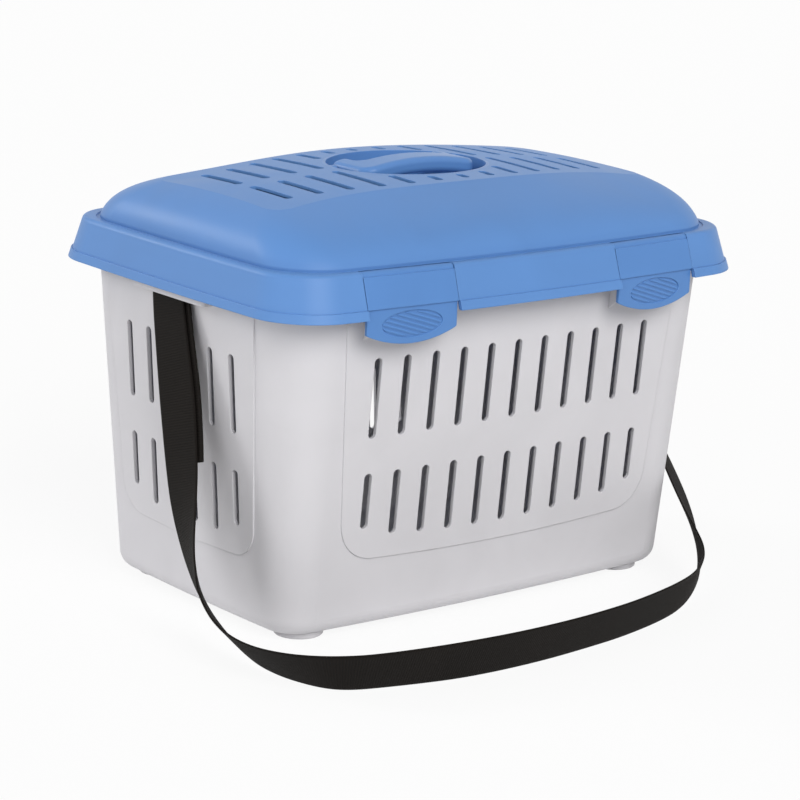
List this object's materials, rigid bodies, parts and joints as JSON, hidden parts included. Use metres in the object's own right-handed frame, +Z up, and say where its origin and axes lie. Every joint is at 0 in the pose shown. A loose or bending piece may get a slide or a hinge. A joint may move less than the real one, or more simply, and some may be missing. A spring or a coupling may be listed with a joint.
{
  "type": "pet carrier",
  "caption": "Portable pet carrier: slotted grey plastic tub, hinged blue lid with air slots, two front clips, a fold-down handle and a black shoulder strap.",
  "frame": {"origin": "on the ground plane under the middle of the carrier, at the middle of its length and depth", "axes": "+X along the length towards the short side on the right of the clips, +Y from the clip side to the hinge side, +Z up"},
  "size_m": [0.4878, 0.4136, 0.3235],
  "materials": {
    "tub_plastic": "satin moulded",
    "lid_plastic": "satin moulded",
    "clip_plastic": "satin moulded",
    "webbing": "woven, cross ribbed"
  },
  "bodies": {
    "base": {"tub": "tub_plastic", "rim_bead": "tub_plastic", "foot_front_left": "tub_plastic", "foot_front_right": "tub_plastic", "foot_rear_left": "tub_plastic", "foot_rear_right": "tub_plastic", "catch_left": "tub_plastic", "catch_right": "tub_plastic", "hinge_ear_outer_left": "tub_plastic", "hinge_ear_inner_left": "tub_plastic", "hinge_ear_outer_right": "tub_plastic", "hinge_ear_inner_right": "tub_plastic", "hinge_pin_left": "tub_plastic", "hinge_pin_right": "tub_plastic", "strap_lug_left": "tub_plastic", "strap_lug_right": "tub_plastic", "strap": "webbing", "strap_tail": "webbing"},
    "lid": {"lid_shell": "lid_plastic", "hem_front": "lid_plastic", "hem_rear": "lid_plastic", "handle_cup": "lid_plastic", "handle_pin_left": "lid_plastic", "handle_pin_right": "lid_plastic", "clip_pin_left": "lid_plastic", "clip_pin_right": "lid_plastic", "hinge_arm_left": "lid_plastic", "hinge_arm_right": "lid_plastic"},
    "clip_left": {"clip_left": "clip_plastic"},
    "clip_right": {"clip_right": "clip_plastic"},
    "handle": {"handle_bail": "lid_plastic"}
  },
  "joints": [
    {"name": "lid_hinge", "type": "hinge", "parent": "base", "child": "lid", "pos_m": [0, 0.1577, 0.236], "axis": [-1, 0, 0], "range_deg": [0, 105]},
    {"name": "clip_left_hinge", "type": "hinge", "parent": "lid", "child": "clip_left", "pos_m": [-0.11481, -0.14441, 0.2699], "axis": [-0.9986, 0.052, 0], "range_deg": [0, 80]},
    {"name": "clip_right_hinge", "type": "hinge", "parent": "lid", "child": "clip_right", "pos_m": [0.11481, -0.14441, 0.2699], "axis": [-0.9986, -0.052, 0], "range_deg": [0, 80]},
    {"name": "handle_hinge", "type": "hinge", "parent": "lid", "child": "handle", "pos_m": [0, 0.016, 0.3115], "axis": [-1, 0, 0], "range_deg": [0, 90]}
  ]
}
